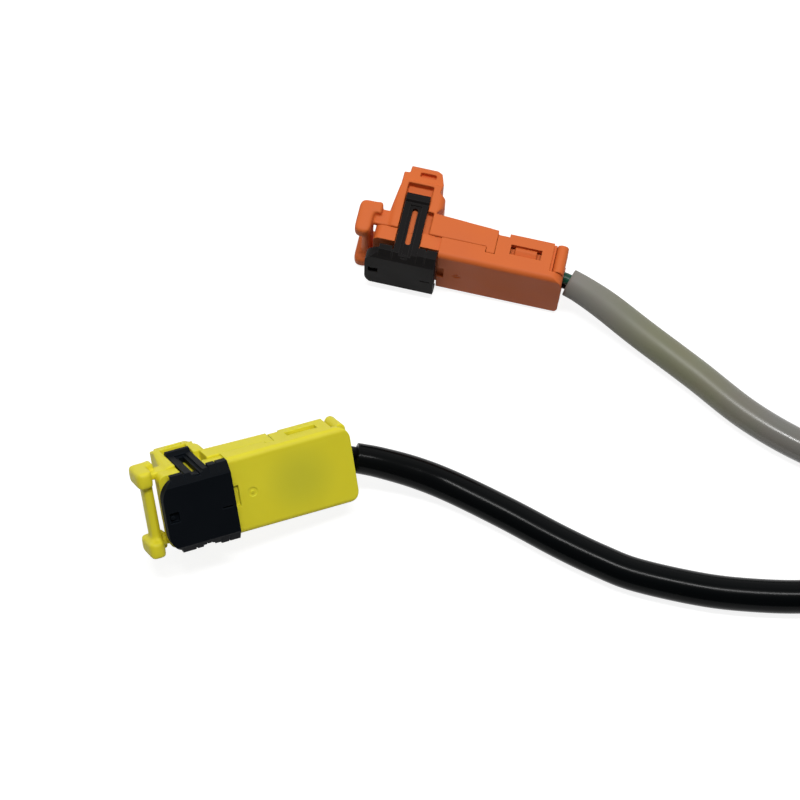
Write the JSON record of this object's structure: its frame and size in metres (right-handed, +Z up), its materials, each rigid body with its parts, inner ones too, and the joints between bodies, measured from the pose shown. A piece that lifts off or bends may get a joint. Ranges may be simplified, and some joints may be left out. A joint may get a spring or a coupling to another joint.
{
  "type": "airbag connector lead pair",
  "caption": "Airbag squib connectors with push-in locks on sleeved leads that share a common plug, as fitted to a steering clock spring",
  "frame": {"origin": "on the surface the part lies on, under the middle of the two squib connectors", "axes": "+X towards the leads and the common plug, +Y away from the viewer of the picture, +Z up"},
  "size_m": [0.1576, 0.0592, 0.0167],
  "materials": {
    "orange_plastic": "moulded, satin",
    "yellow_plastic": "moulded, satin, slightly translucent",
    "black_plastic": "moulded, satin",
    "contact_metal": "tin plated",
    "ferrite": "sintered",
    "green_insulation": "extruded",
    "black_insulation": "extruded",
    "grey_sleeving": "soft vinyl, glossy",
    "black_sleeving": "soft vinyl, glossy"
  },
  "bodies": {
    "leads": {"orange_cover": "orange_plastic", "orange_base": "orange_plastic", "orange_contact_left": "contact_metal", "orange_contact_right": "contact_metal", "orange_shorting_clip": "contact_metal", "orange_ferrite": "ferrite", "orange_wire_left": "green_insulation", "orange_wire_right": "black_insulation", "yellow_cover": "yellow_plastic", "yellow_base": "yellow_plastic", "yellow_contact_left": "contact_metal", "yellow_contact_right": "contact_metal", "yellow_shorting_clip": "contact_metal", "yellow_ferrite": "ferrite", "yellow_wire_left": "black_insulation", "yellow_wire_right": "black_insulation", "grey_sleeve": "grey_sleeving", "black_sleeve": "black_sleeving", "plug_housing": "black_plastic", "plug_retainer": "yellow_plastic", "plug_contact_1": "contact_metal", "plug_contact_2": "contact_metal", "plug_contact_3": "contact_metal", "plug_contact_4": "contact_metal", "plug_wire_ends": "black_insulation"},
    "orange_push_lock": {"orange_lock": "black_plastic"},
    "yellow_push_lock": {"yellow_lock": "black_plastic"}
  },
  "joints": [
    {"name": "orange_lock_press", "type": "slide", "parent": "leads", "child": "orange_push_lock", "axis": [0.2211, 0.9752, 0.0098], "range_m": [0, 0.00105]},
    {"name": "yellow_lock_press", "type": "slide", "parent": "leads", "child": "yellow_push_lock", "axis": [-0.3622, 0.5787, -0.7307], "range_m": [0, 0.00105]}
  ]
}
